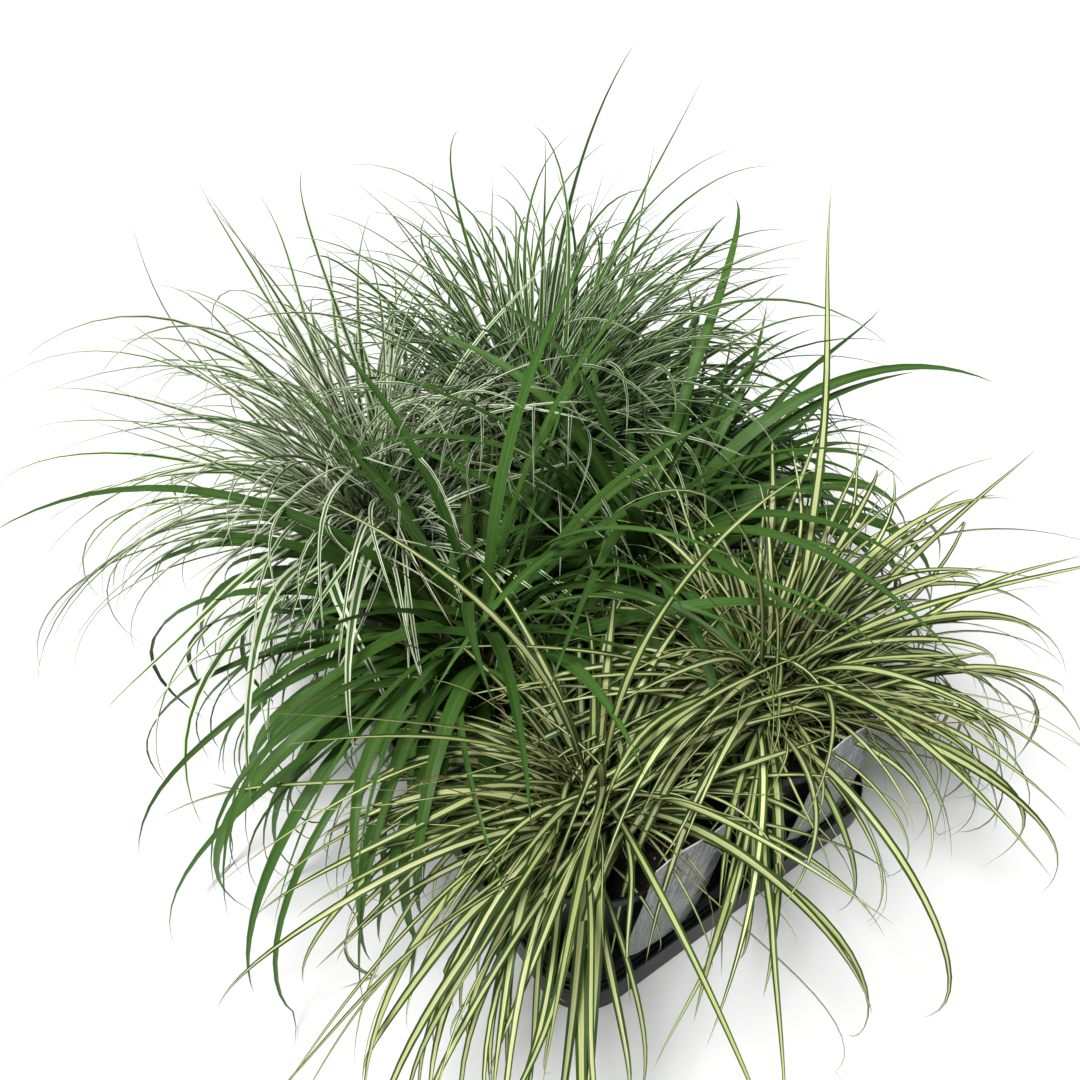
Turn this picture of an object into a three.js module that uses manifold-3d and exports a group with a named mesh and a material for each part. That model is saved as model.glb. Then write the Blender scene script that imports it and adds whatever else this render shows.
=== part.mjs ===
// A nursery carry tray with six potted sedges in three kinds: cream-centred ones along
// the front, broad plain green ones in the middle and fine white-edged ones at the back.
//
// Millimetres, +Z up. The origin lies under the middle of the tray, on the surface that
// it stands on. X runs along the tray's short side, Y along its long side, and the two
// labels stand along the short side that faces -Y.
import * as THREE from "three";
import { mergeVertices } from "three/addons/utils/BufferGeometryUtils.js";
import Module from "manifold-3d";

const wasm = await Module();
wasm.setup();

// ---- driving dimensions ----

const GAP = 0.4; // between neighbouring pieces
const TRAY = { halfX: 145, halfY: 218, corner: 38, cornerSteps: 4, height: 28, floor: 1.8 };
const DRAIN = { radius: 16, sides: 12, cutterHeight: 10 };
const POT = { pitchX: 142, pitchY: 143, height: 117, wall: 1.6, sides: 16 };
POT.baseRadius = 50;
POT.topRadius = 65;
POT.rimRadius = 68;
POT.rimDepth = 11;
const SOIL = { belowRim: 13, mound: 4, edgeDrop: 2, edgeGap: 1 }; // under the pot's rim
const CROWN = { radius: 30, footRadius: 25, shoulderRadius: 22, sides: 9 };
CROWN.sunk = 16; // its foot below the soil, and its widest place, shoulder and top over it:
CROWN.widest = 6;
CROWN.shoulder = 20;
CROWN.height = 30;
CROWN.rootRadius = 21; // blades are rooted this far out, and this high over the soil:
CROWN.innerRoots = 16;
CROWN.outerRoots = 2;
const LABEL = { width: 80, height: 114, thickness: 0.9, curl: 10, curlStart: 0.45, columns: 6 };
LABEL.cutCorner = 8; // by how much its ends are shorter at top and bottom

const POT_FLOOR = TRAY.floor + GAP;
const POT_TOP = POT_FLOOR + POT.height;
const SOIL_TOP = POT_TOP - SOIL.belowRim;

// Where hanging blades come to lie: their height over the open surface and over the pots,
// and how far inside and outside the tray's edge they pass from one to the other.
const REST = { surface: 2.2, overPots: 6, inside: 34, outside: 10 };
REST.insideRim = 6; // further than this inside its own pot's rim nothing holds it up
REST.stride = 0.9; // the least share of a step that a blade goes on along what it lies on
const BLADE_CLEARANCE = 0.45; // from what belongs to others
const LOWEST = 0.3; // of any blade's facets over the surface

// How often a blade is drawn again, and by what share further to the sides each time.
const TRIES = { all: 26, clearOfLabels: 10, clearOfOwn: 18, widening: 0.12 };

// The space over a label's face, which blades leave open so that it can be read from the
// front: half its width and depth, its lowest place, the height of the label's middle, and
// the place that it leads to.
const LABEL_SPACE = { halfWidth: 36, halfDepth: 19, lowest: 30, middle: 90 };
LABEL_SPACE.readFrom = [-240, -380, 625];

// How blades vary within a clump. Angles are in degrees and are full widths of the draw.
const VARY = { azimuth: 69, reach: 0.16, droop: 60, swerve: 66, roll: 50, twist: 80 };
const AWAY = { turn: 10, reachInwards: 0.62 }; // clumps grow away from the tray's middle
const UPRIGHT = { share: 0.04, length: 1, droop: 70, bendPower: 2.2 }; // the innermost stand up
const TAPER = { base: 0.72, fullFrom: 0.35, narrowsFrom: 0.4, power: 1.4 };
const GOLDEN_ANGLE = Math.PI * (3 - Math.sqrt(5));
const PATH_STEPS = 42;
const BLADE_STATIONS = [0, 0.15, 0.31, 0.48, 0.65, 0.83, 1];

// Each kind's blades, from its innermost to its outermost: the angle at which they leave the
// crown, and the one at which they end, from upright. droopBy is how far out the last is met,
// innerLength how long the innermost are beside the outermost, and inwards how long those
// that head for the tray's middle are beside those that head away from it.
const KINDS = {
  cream: {
    colour: 0xb9bf6a,
    count: 50,
    length: [210, 325],
    innerLength: [0.52, 1.05],
    inwards: 0.72,
    width: [5, 7],
    keel: 1.2,
    lean: [4, 50],
    droop: [88, 190],
    droopBy: 0.7,
    bendPower: [0.75, 1.25],
  },
  green: {
    colour: 0x3f6b2c,
    count: 44,
    length: [235, 345],
    innerLength: [0.85, 1.12],
    inwards: 1,
    width: [6.5, 10.5],
    keel: 1.5,
    lean: [4, 46],
    droop: [92, 200],
    droopBy: 0.6,
    bendPower: [0.8, 1.5],
  },
  white: {
    colour: 0x7f9c6c,
    count: 55,
    length: [225, 335],
    innerLength: [0.85, 1.2],
    inwards: 0.85,
    width: [3.2, 4.8],
    keel: 1.1,
    lean: [4, 50],
    droop: [76, 190],
    droopBy: 0.8,
    bendPower: [1, 1.9],
  },
};

// Column (-1 left, 1 right) and row (-1 front, 0 middle, 1 back) of each pot.
const PLANTS = [
  { place: "front_left", kind: "cream", column: -1, row: -1, seed: 11 },
  { place: "front_right", kind: "cream", column: 1, row: -1, seed: 23 },
  { place: "middle_left", kind: "green", column: -1, row: 0, seed: 37 },
  { place: "middle_right", kind: "green", column: 1, row: 0, seed: 41 },
  { place: "back_left", kind: "white", column: -1, row: 1, seed: 59 },
  { place: "back_right", kind: "white", column: 1, row: 1, seed: 67 },
];

// The labels stand askew over the tray's groove, before the pots, on their curled ends.
const LABEL_PLACES = [
  { name: "label_left", position: [-62, -212.5, 33], askew: 12 },
  { name: "label_right", position: [81, -212.5, 33], askew: 8 },
];

// ---- helpers ----

const radians = THREE.MathUtils.degToRad;
const lerp = THREE.MathUtils.lerp;
const smoothstep = THREE.MathUtils.smoothstep;

// A repeatable source of numbers from 0 to 1 (the mulberry32 generator).
function seededRandom(seed) {
  let state = seed >>> 0;
  return () => {
    state = (state + 0x6d2b79f5) >>> 0;
    let mixed = Math.imul(state ^ (state >>> 15), state | 1);
    mixed ^= mixed + Math.imul(mixed ^ (mixed >>> 7), mixed | 61);
    return ((mixed ^ (mixed >>> 14)) >>> 0) / 4294967296;
  };
}

// A closed geometry as a solid that can be joined and cut.
function solidOf(geometry) {
  const bare = geometry.clone();
  bare.deleteAttribute("normal");
  bare.deleteAttribute("uv");
  const merged = mergeVertices(bare, 1e-4);
  const vertProperties = new Float32Array(merged.attributes.position.array);
  const triVerts = new Uint32Array(merged.index.array);
  return new wasm.Manifold(new wasm.Mesh({ numProp: 3, vertProperties, triVerts }));
}

// A solid as a geometry with flat facets.
function geometryOf(solid) {
  const mesh = solid.getMesh();
  const geometry = new THREE.BufferGeometry();
  geometry.setAttribute("position", new THREE.BufferAttribute(mesh.vertProperties, 3));
  geometry.setIndex(new THREE.BufferAttribute(mesh.triVerts, 1));
  return geometry;
}

function indexed(points, faces) {
  const geometry = new THREE.BufferGeometry().setFromPoints(points);
  geometry.setIndex(faces);
  return geometry;
}

function piece(name, solid, colour, roughness) {
  const material = new THREE.MeshStandardMaterial({ color: colour, roughness, metalness: 0 });
  const mesh = new THREE.Mesh(geometryOf(solid), material);
  mesh.name = name;
  return mesh;
}

// Turns a profile of [radius, height] pairs round the vertical axis.
function turned(profile, sides) {
  const points = profile.map(([radius, height]) => new THREE.Vector2(radius, height));
  return solidOf(new THREE.LatheGeometry(points, sides).rotateX(Math.PI / 2));
}

// Joins rings of equally many points, from the middle of the first to that of the last.
function lofted(rings, firstMiddle, lastMiddle) {
  const count = rings[0].length;
  const points = [...rings.flat(), firstMiddle, lastMiddle];
  const faces = [];
  const first = points.length - 2;
  const last = points.length - 1;
  const lastRing = (rings.length - 1) * count;
  for (let i = 0; i < count; i++) {
    const j = (i + 1) % count;
    faces.push(first, i, j);
    faces.push(last, lastRing + j, lastRing + i);
    for (let ring = 0; ring < rings.length - 1; ring++) {
      const inner = ring * count;
      const outer = inner + count;
      faces.push(inner + i, outer + i, outer + j);
      faces.push(inner + i, outer + j, inner + j);
    }
  }
  return solidOf(indexed(points, faces));
}

// ---- tray ----

// A rounded rectangle that lies `inset` inside the tray's outer edge, at a height.
function trayOutline(inset, height) {
  const radius = TRAY.corner - inset;
  const points = [];
  const middleX = TRAY.halfX - TRAY.corner;
  const middleY = TRAY.halfY - TRAY.corner;
  for (const [signX, signY, start] of [[1, 1, 0], [-1, 1, 90], [-1, -1, 180], [1, -1, 270]]) {
    for (let step = 0; step <= TRAY.cornerSteps; step++) {
      const angle = radians(start + (90 * step) / TRAY.cornerSteps);
      const x = signX * middleX + radius * Math.cos(angle);
      const y = signY * middleY + radius * Math.sin(angle);
      points.push(new THREE.Vector3(x, y, height));
    }
  }
  return points;
}

// A formed sheet: floor, wall, sloping ledge, groove, lip and outer skirt, hollow below.
function makeTray() {
  const top = TRAY.height;
  const upper = [
    [18, TRAY.floor],
    [14.5, top],
    [8.5, top - 2.5],
    [7.5, top - 6.5],
    [4.6, top - 6.5],
    [4, top - 4.2],
    [2, top - 4.8],
    [0, 0.8],
  ];
  const under = [
    [1.7, 0.8],
    [3.6, top - 8],
    [9, top - 8],
    [9.9, top - 4],
    [13.2, top - 2.4],
    [16.2, 0],
  ];
  const rings = [...upper, ...under].map(([inset, height]) => trayOutline(inset, height));
  const floorMiddle = new THREE.Vector3(0, 0, TRAY.floor);
  let tray = lofted(rings, floorMiddle, new THREE.Vector3(0, 0, 0));
  for (const plant of PLANTS) {
    const { radius, cutterHeight, sides } = DRAIN;
    const cutter = new THREE.CylinderGeometry(radius, radius, cutterHeight, sides);
    cutter.rotateX(Math.PI / 2).translate((plant.column * POT.pitchX) / 2, plant.row * POT.pitchY, 0);
    tray = tray.subtract(solidOf(cutter));
  }
  return tray;
}

// ---- pots, soil and labels ----

function potRadius(height) {
  return lerp(POT.baseRadius, POT.topRadius, height / POT.height);
}

// A tapered pot whose wall steps out into an upright rim.
function makePot() {
  const step = POT.height - POT.rimDepth;
  const inside = POT.rimRadius - POT.wall;
  return turned(
    [
      [0, 0],
      [POT.baseRadius, 0],
      [potRadius(step), step],
      [POT.rimRadius, step + 1],
      [POT.rimRadius, POT.height],
      [inside, POT.height],
      [inside, step + 1 + POT.wall],
      [potRadius(step) - POT.wall, step + POT.wall],
      [potRadius(POT.wall) - POT.wall, POT.wall],
      [0, POT.wall],
    ],
    POT.sides,
  );
}

// The potting mix fills the pot and keeps a plain round hole for the crown.
function makeSoil() {
  const bottom = POT.wall + GAP;
  const top = POT.height - SOIL.belowRim;
  const holeBottom = top - CROWN.sunk - GAP;
  return turned(
    [
      [0, bottom],
      [potRadius(bottom) - POT.wall - GAP, bottom],
      [potRadius(top) - POT.wall - SOIL.edgeGap, top - SOIL.edgeDrop],
      [CROWN.radius + GAP + 1, top + SOIL.mound],
      [CROWN.footRadius + GAP + 1, holeBottom],
      [0, holeBottom],
    ],
    POT.sides,
  );
}

// The packed leaf bases that every blade of a clump grows from.
function makeCrown() {
  const top = POT.height - SOIL.belowRim;
  return turned(
    [
      [0, top - CROWN.sunk],
      [CROWN.footRadius, top - CROWN.sunk],
      [CROWN.radius, top + CROWN.widest],
      [CROWN.shoulderRadius, top + CROWN.shoulder],
      [0, top + CROWN.height],
    ],
    CROWN.sides,
  );
}

// A thin sheet with cut corners and its lower edge at the origin. Its right end curls inwards.
function makeLabel() {
  const rings = [];
  for (let column = 0; column <= LABEL.columns; column++) {
    const across = column / LABEL.columns;
    const x = (across - 0.5) * LABEL.width;
    const curled = Math.max(across - LABEL.curlStart, 0) / (1 - LABEL.curlStart);
    const y = LABEL.curl * curled ** 2;
    const rise = column === 0 || column === LABEL.columns ? LABEL.cutCorner : 0;
    rings.push([
      new THREE.Vector3(x, y, rise),
      new THREE.Vector3(x, y, LABEL.height - rise),
      new THREE.Vector3(x, y + LABEL.thickness, LABEL.height - rise),
      new THREE.Vector3(x, y + LABEL.thickness, rise),
    ]);
  }
  const middleOf = (ring) => ring[0].clone().lerp(ring[2], 0.5);
  return lofted(rings, middleOf(rings[0]), middleOf(rings[LABEL.columns]));
}

// ---- blades ----

// The lowest that a blade's middle may lie over a place: over the pots inside the tray,
// over the tray's rim at its edge, and on the open surface outside.
function restingHeight(x, y) {
  const pastX = Math.abs(x) - TRAY.halfX;
  const pastY = Math.abs(y) - TRAY.halfY;
  const inside = Math.min(Math.max(pastX, pastY), 0);
  const past = Math.hypot(Math.max(pastX, 0), Math.max(pastY, 0)) + inside;
  return lerp(POT_TOP + REST.overPots, REST.surface, smoothstep(past, -REST.inside, REST.outside));
}

// A blade's middle line: it leans out from the crown and bends over along its length,
// and where it meets what lies below, it goes on along that.
function bladePath(kind, plant, rank, turn, attempt, random) {
  const centreX = (plant.column * POT.pitchX) / 2;
  const centreY = plant.row * POT.pitchY;
  const vary = (width) => (random() - 0.5) * width;
  const between = ([low, high], share) => lerp(low, high, share);
  const outward = Math.atan2(plant.row, plant.column);
  const turned = turn - radians(AWAY.turn) * Math.sin(turn - outward);
  const azimuth = turned + radians(vary(VARY.azimuth * (1 + TRIES.widening * attempt)));
  const facing = (Math.cos(azimuth - outward) + 1) / 2;
  const spread = rank * lerp(AWAY.reachInwards, 1, facing) + vary(VARY.reach);
  const reach = THREE.MathUtils.clamp(spread, 0, 1);
  const upright = rank < UPRIGHT.share;
  const innerLength = between(kind.innerLength, random());
  const inner = lerp(innerLength, 1, rank) * lerp(kind.inwards, 1, facing);
  const length = between(kind.length, random()) * (upright ? UPRIGHT.length : inner);
  const lean = radians(between(kind.lean, reach));
  const bent = between(kind.droop, smoothstep(reach, 0, kind.droopBy));
  const droop = radians((upright ? UPRIGHT.droop : bent) + vary(VARY.droop));
  const swerve = radians(vary(VARY.swerve));
  const drawnPower = between(kind.bendPower, random());
  const bendPower = upright ? UPRIGHT.bendPower : drawnPower;
  const rootRadius = CROWN.rootRadius * Math.sqrt(rank);
  const point = new THREE.Vector3(
    centreX + rootRadius * Math.cos(turn),
    centreY + rootRadius * Math.sin(turn),
    SOIL_TOP + lerp(CROWN.innerRoots, CROWN.outerRoots, rank),
  );
  const path = [point.clone()];
  const step = length / PATH_STEPS;
  for (let i = 1; i <= PATH_STEPS; i++) {
    const along = i / PATH_STEPS;
    const angle = lerp(lean, Math.max(droop, lean), along ** bendPower);
    const heading = azimuth + swerve * along * along;
    const next = point.clone();
    next.x += step * Math.sin(angle) * Math.cos(heading);
    next.y += step * Math.sin(angle) * Math.sin(heading);
    next.z += step * Math.cos(angle);
    const pastOwnPot = Math.hypot(next.x - centreX, next.y - centreY) > POT.rimRadius - REST.insideRim;
    if (pastOwnPot && next.z < restingHeight(next.x, next.y)) {
      const level = step * Math.max(Math.sin(angle), REST.stride);
      next.x = point.x + level * Math.cos(heading);
      next.y = point.y + level * Math.sin(heading);
      next.z = Math.max(restingHeight(next.x, next.y), point.z - step);
    }
    point.copy(next);
    path.push(next);
  }
  return path;
}

function hangsOverLabel(path) {
  const { halfWidth, halfDepth, lowest, middle, readFrom } = LABEL_SPACE;
  return path.some(({ x, y, z }) =>
    LABEL_PLACES.some(({ position }) => {
      const share = (z - middle) / (readFrom[2] - middle);
      const aside = Math.abs(x - lerp(position[0], readFrom[0], share));
      const before = Math.abs(y - lerp(position[1], readFrom[1], share));
      return z > lowest && aside < halfWidth && before < halfDepth;
    }),
  );
}

// Share of the full width along a blade: a narrow base, a long middle and a fine point.
function widthShare(along) {
  const base = lerp(TAPER.base, 1, Math.min(along / TAPER.fullFrom, 1));
  const tip = Math.max((along - TAPER.narrowsFrom) / (1 - TAPER.narrowsFrom), 0);
  return base * (1 - tip ** TAPER.power);
}

// A keeled three-sided blade along a path. Both faces are split by the same diagonals.
function bladeGeometry(path, width, keel, roll, twist) {
  const points = [];
  const faces = [];
  const last = BLADE_STATIONS.length - 1;
  BLADE_STATIONS.forEach((along, station) => {
    const index = Math.round(along * PATH_STEPS);
    const here = path[index];
    if (station === last) {
      points.push(here.clone());
      return;
    }
    const before = path[Math.max(index - 2, 0)];
    const after = path[Math.min(index + 2, PATH_STEPS)];
    const tangent = after.clone().sub(before).normalize();
    const flat = path[PATH_STEPS].clone().sub(path[0]);
    const side = new THREE.Vector3(-flat.y, flat.x, 0).normalize();
    side.addScaledVector(tangent, -side.dot(tangent)).normalize();
    side.applyAxisAngle(tangent, roll + twist * along);
    const upper = tangent.clone().cross(side);
    const half = (width / 2) * widthShare(along);
    points.push(here.clone().addScaledVector(side, half));
    points.push(here.clone().addScaledVector(side, -half));
    points.push(here.clone().addScaledVector(upper, -keel));
  });
  faces.push(0, 2, 1);
  for (let station = 0; station < last - 1; station++) {
    const a = station * 3;
    for (const [p, q] of [[0, 1], [2, 0], [1, 2]]) {
      faces.push(a + p, a + q, a + 3 + q);
      faces.push(a + p, a + 3 + q, a + 3 + p);
    }
  }
  const end = (last - 1) * 3;
  const tip = last * 3;
  faces.push(end, end + 1, tip);
  faces.push(end + 2, end, tip);
  faces.push(end + 1, end + 2, tip);
  return indexed(points, faces);
}

function boxesMeet(a, b, margin) {
  const overlap = (axis) => Math.min(a.max[axis], b.max[axis]) - Math.max(a.min[axis], b.min[axis]);
  return [0, 1, 2].every((axis) => overlap(axis) > -margin);
}

function tooClose(blade, box, others) {
  return others.some(
    (other) =>
      boxesMeet(box, other.box, BLADE_CLEARANCE) &&
      blade.minGap(other.solid, BLADE_CLEARANCE * 2) < BLADE_CLEARANCE,
  );
}

function crosses(blade, box, own) {
  return own.some((other) => boxesMeet(box, other.box, 0) && !blade.intersect(other.solid).isEmpty());
}

// A clump as one body: what crossing blades seal between them is filled.
function wholeBody(solid) {
  return solid.decompose().reduce((most, body) => (body.volume() > most.volume() ? body : most));
}

// Grows one clump on its crown. Each blade is drawn again until it stands clear of what
// belongs to others, and for the first tries also of labels' faces and its own clump's blades.
function growClump(plant, crown, obstacles) {
  const kind = KINDS[plant.kind];
  const random = seededRandom(plant.seed);
  const parts = [crown];
  const own = [];
  for (let blade = 0; blade < kind.count; blade++) {
    const rank = (blade + 0.5) / kind.count;
    for (let attempt = 0; attempt < TRIES.all; attempt++) {
      const path = bladePath(kind, plant, rank, blade * GOLDEN_ANGLE, attempt, random);
      const overLabel = hangsOverLabel(path);
      const width = lerp(kind.width[0], kind.width[1], random());
      const roll = radians((random() - 0.5) * VARY.roll);
      const twist = radians((random() - 0.5) * VARY.twist);
      const solid = solidOf(bladeGeometry(path, width, kind.keel, roll, twist));
      const free = solid.subtract(crown);
      const box = free.boundingBox();
      if (box.min[2] < LOWEST) continue;
      if (attempt < TRIES.clearOfLabels && overLabel) continue;
      if (free.decompose().length !== 1) continue;
      if (tooClose(free, box, obstacles)) continue;
      if (attempt < TRIES.clearOfOwn && crosses(free, box, own)) continue;
      parts.push(solid);
      own.push({ solid: free, box });
      break;
    }
  }
  return { solid: wholeBody(wasm.Manifold.union(parts)), own };
}

// ---- assembly ----

const group = new THREE.Group();
const obstacles = [];

function asObstacle(solid) {
  return { solid, box: solid.boundingBox() };
}

// Adds a piece to its group. Blades then keep clear of the place that it takes up.
function place(parent, mesh, solid) {
  parent.add(mesh);
  mesh.updateWorldMatrix(true, false);
  obstacles.push(asObstacle(solid.transform(mesh.matrixWorld.elements)));
}

const tray = makeTray();
place(group, piece("tray", tray, 0x14161a, 0.42), tray);

const pot = makePot();
const soil = makeSoil();
const crown = makeCrown();
for (const plant of PLANTS) {
  const potted = new THREE.Group();
  potted.position.set((plant.column * POT.pitchX) / 2, plant.row * POT.pitchY, POT_FLOOR);
  group.add(potted);
  place(potted, piece("pot_" + plant.place, pot, 0x101113, 0.5), pot);
  place(potted, piece("soil_" + plant.place, soil, 0x2a1d16, 0.95), soil);
  plant.crown = crown.transform(potted.matrixWorld.elements);
}

const label = makeLabel();
for (const { name, position, askew } of LABEL_PLACES) {
  const mesh = piece(name, label, 0xaeb4b6, 0.25);
  mesh.position.set(...position);
  mesh.rotation.y = radians(askew);
  place(group, mesh, label);
}

for (const plant of PLANTS) {
  const others = PLANTS.filter((other) => other !== plant);
  const blocked = [...obstacles, ...others.map((other) => asObstacle(other.crown))];
  const clump = growClump(plant, plant.crown, blocked);
  obstacles.push(...clump.own);
  const name = "sedge_" + plant.kind + "_" + plant.place;
  group.add(piece(name, clump.solid, KINDS[plant.kind].colour, 0.55));
}

export default group;
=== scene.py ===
# The looks of a nursery tray of potted sedges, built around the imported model.
#
# +Z up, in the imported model's frame: the origin lies under the tray's middle, X runs along its
# short side, Y along its long side, and the labels stand at the -Y end. Sizes are worked out in
# millimetres, as in the solids, and become metres where a mesh is made.
import math

import bpy
import numpy as np
from mathutils import Euler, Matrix, Vector, kdtree, noise
from mathutils.geometry import tessellate_polygon


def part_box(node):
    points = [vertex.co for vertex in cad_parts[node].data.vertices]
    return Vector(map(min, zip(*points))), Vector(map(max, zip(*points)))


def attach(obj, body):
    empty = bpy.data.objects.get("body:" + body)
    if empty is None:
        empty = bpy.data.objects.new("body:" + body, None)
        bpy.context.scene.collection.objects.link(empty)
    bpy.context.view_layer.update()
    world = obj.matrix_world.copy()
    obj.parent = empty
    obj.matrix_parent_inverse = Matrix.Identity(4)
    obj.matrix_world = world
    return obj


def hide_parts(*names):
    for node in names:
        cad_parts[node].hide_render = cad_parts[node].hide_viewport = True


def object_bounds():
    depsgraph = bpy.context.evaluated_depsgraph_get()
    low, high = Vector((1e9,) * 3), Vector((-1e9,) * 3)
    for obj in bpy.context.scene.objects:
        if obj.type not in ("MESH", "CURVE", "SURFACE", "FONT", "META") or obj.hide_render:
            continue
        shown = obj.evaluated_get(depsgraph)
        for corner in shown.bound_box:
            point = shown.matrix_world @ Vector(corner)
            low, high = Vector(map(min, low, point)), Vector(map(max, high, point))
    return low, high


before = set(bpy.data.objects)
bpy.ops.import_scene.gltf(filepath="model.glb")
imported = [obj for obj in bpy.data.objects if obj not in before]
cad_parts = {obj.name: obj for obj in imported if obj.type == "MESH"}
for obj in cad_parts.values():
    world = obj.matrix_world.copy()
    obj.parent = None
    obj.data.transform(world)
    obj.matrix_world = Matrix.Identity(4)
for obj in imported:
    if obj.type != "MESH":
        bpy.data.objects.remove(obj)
cad_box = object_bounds()

MM = 0.001

# Fillers stay within the model's box and this share of its sides.
BOX_MARGIN = 0.015
BOX_LOW, BOX_HIGH = (np.array(corner) for corner in cad_box)
BOX_SPARE = (BOX_HIGH - BOX_LOW) * BOX_MARGIN * (1, 1, 0)
BOX_LOW, BOX_HIGH = BOX_LOW - BOX_SPARE, BOX_HIGH + BOX_SPARE

# ---- driving dimensions in millimetres, the same as the solids have ----

TRAY_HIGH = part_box("tray")[1]
TRAY_HALF_X = TRAY_HIGH.x / MM
TRAY_HALF_Y = TRAY_HIGH.y / MM
TRAY_TOP = TRAY_HIGH.z / MM
TRAY_FLOOR = 1.8
TRAY_CORNER = 38
TRAY_CORNER_STEPS = 14
# The sheet's section, as distance inside the tray's outer edge and height: from the floor over
# the ledge, groove and lip to the skirt's foot, and back below it.
TRAY_OVER = [(18, TRAY_FLOOR), (14.5, TRAY_TOP), (8.5, TRAY_TOP - 2.5), (7.5, TRAY_TOP - 6.5),
             (4.6, TRAY_TOP - 6.5), (4, TRAY_TOP - 4.2), (2, TRAY_TOP - 4.8), (0, 0.8)]
TRAY_UNDER = [(1.4, 0.8), (3, TRAY_TOP - 7), (8.6, TRAY_TOP - 7.6), (9.6, TRAY_TOP - 3.6),
              (13.2, TRAY_TOP - 1.6), (16.2, 0)]
TRAY_BENDS = (1.8, 1.2)  # their radii, above and below
DRAIN_RADIUS = 16
DRAIN_SIDES = 48

POT_LOW, POT_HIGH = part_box("pot_front_left")
POT_FLOOR = POT_LOW.z / MM
POT_TOP = POT_HIGH.z / MM
POT_HEIGHT = POT_TOP - POT_FLOOR
POT_PITCH_X = 142
POT_PITCH_Y = 143
POT_BASE_RADIUS = 50
POT_TOP_RADIUS = 65
POT_RIM_RADIUS = 68
POT_RIM_DEPTH = 11
POT_WALL = 1.6
POT_SIDES = 112
POT_RAISED = 1.2  # the base's middle, over the ring that the pot stands on
POT_FOOT = 6  # how wide that ring is
POT_BEAD = 2.4  # how deep the bead along the rim's edge is, and how far it stands out
POT_BEAD_OUT = 0.7
POT_BENDS = 0.9  # the radius of its bends
BEND_SHARE = 0.42  # the most of a straight stretch that a bend takes up at either end
GAP = 0.4
SHARP_OVER = 50  # degrees, where smooth shading ends, and the same among crumbs
CRUMB_SHARP_OVER = 40

SOIL_TOP = POT_TOP - 13
SOIL_MOUND = 4
# How far the mix sags along the pot's wall, where its mound starts, how far it ends inside the
# pot's outside, its mesh, and the waves of its surface.
SOIL = {
    "sag": 2, "mound_from": 22, "mound_ends": 2.6, "inside": 2.4, "inside_below": 2.2, "knee": 60,
    "foot": 1.4, "rings": 22, "sides": 72, "waves_over": 80, "wave_scale": 0.16,
    "wave_height": 1.5, "ripple_scale": 3.1, "ripple_height": 0.9,
}
CHIPS = {
    "count": 620, "size": (1.2, 2.6), "crumb": (0.6, 0.6, 0.5), "bark": (2.2, 1.2, 0.5),
    "bark_every": 9, "white_every": 37, "tilt": 0.5, "turn": 6.3, "ragged": (0.75, 1.15),
    "from_edge": 3, "lifted": 0.5,
}
SOIL_TONE = 0.25
WHITE_TONE = 2.0

LABEL_WIDTH = 80
LABEL_HEIGHT = 114
LABEL_CURL = 10
LABEL_CURL_START = 0.45
LABEL_THICKNESS = 0.5
LABEL_CUT_CORNER = 8
LABEL_CUT_WIDTH = 1 / 6  # of the label's width, at either side
LABEL_CELLS = (40, 56)
LABEL_BUCKLE = {"depth": 0.35, "across": 5.2, "slant": 3.1, "up": 7.3}
LABEL_SET_BACK = 0.45
LABEL_PLACES = ((-62, -212.5, 33), (81, -212.5, 33))  # of their lower edges
LABEL_ASKEW = (12, 8)
# The space over a label's face that most blades leave open, towards where it is read from.
READ_FROM = (-240, -380, 625)
LABEL_SPACE = {"half_width": 36, "half_depth": 19, "lowest": 30, "middle": 90}


def potted(place, kind, column, row, seed, bushy, inwards, greener=0.0):
    """A plant and its pot's column (-1 left, 1 right) and row (-1 front, 0 middle, 1 back), how
    full of further blades it is, how long those are that head for the tray's middle, as a
    share, and how much wider its blades' middle stripes are."""
    return dict(place=place, kind=kind, column=column, row=row, seed=seed, bushy=bushy,
                inwards=inwards, greener=greener)


PLANTS = [
    potted("front_left", "cream", -1, -1, 11, 0.56, 0.62),
    potted("front_right", "cream", 1, -1, 23, 1.05, 0.95),
    potted("middle_left", "green", -1, 0, 37, 0.55, 1),
    potted("middle_right", "green", 1, 0, 41, 1.3, 0.85),
    potted("back_left", "white", -1, 1, 59, 0.78, 0.85, -0.05),
    potted("back_right", "white", 1, 1, 67, 1.5, 0.9, 0.24),
]


def group(count, length, width, keel, lean, reach=(0, 1), **more):
    """Blades of one sort: lengths, widths and keel in millimetres, angles in degrees from
    upright. Their reach is how far out they bend, from 0 for upright to 1 for hanging."""
    return dict(count=count, length=length, width=width, keel=keel, lean=lean, reach=reach, **more)


# The main blades of each kind, as the solids have them, but for how much shorter fillers are
# that reach little. What a group of further blades doesn't give is as in the main ones.
KINDS = {
    "cream": group(50, (210, 325), (5, 7), 1.2, (4, 50), inner_length=(0.52, 1.05), inwards=0.72,
                   droop=(88, 190), droop_by=0.7, bend_power=(0.75, 1.25), fillers_inner=0.66),
    "green": group(44, (235, 345), (6.5, 10.5), 1.5, (4, 46), inner_length=(0.85, 1.12), inwards=1,
                   droop=(92, 200), droop_by=0.6, bend_power=(0.8, 1.5), fillers_inner=0.85),
    "white": group(55, (225, 335), (3.2, 4.8), 1.1, (4, 50), inner_length=(0.85, 1.2), inwards=0.85,
                   droop=(76, 190), droop_by=0.8, bend_power=(1, 1.9), fillers_inner=0.92),
}

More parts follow.
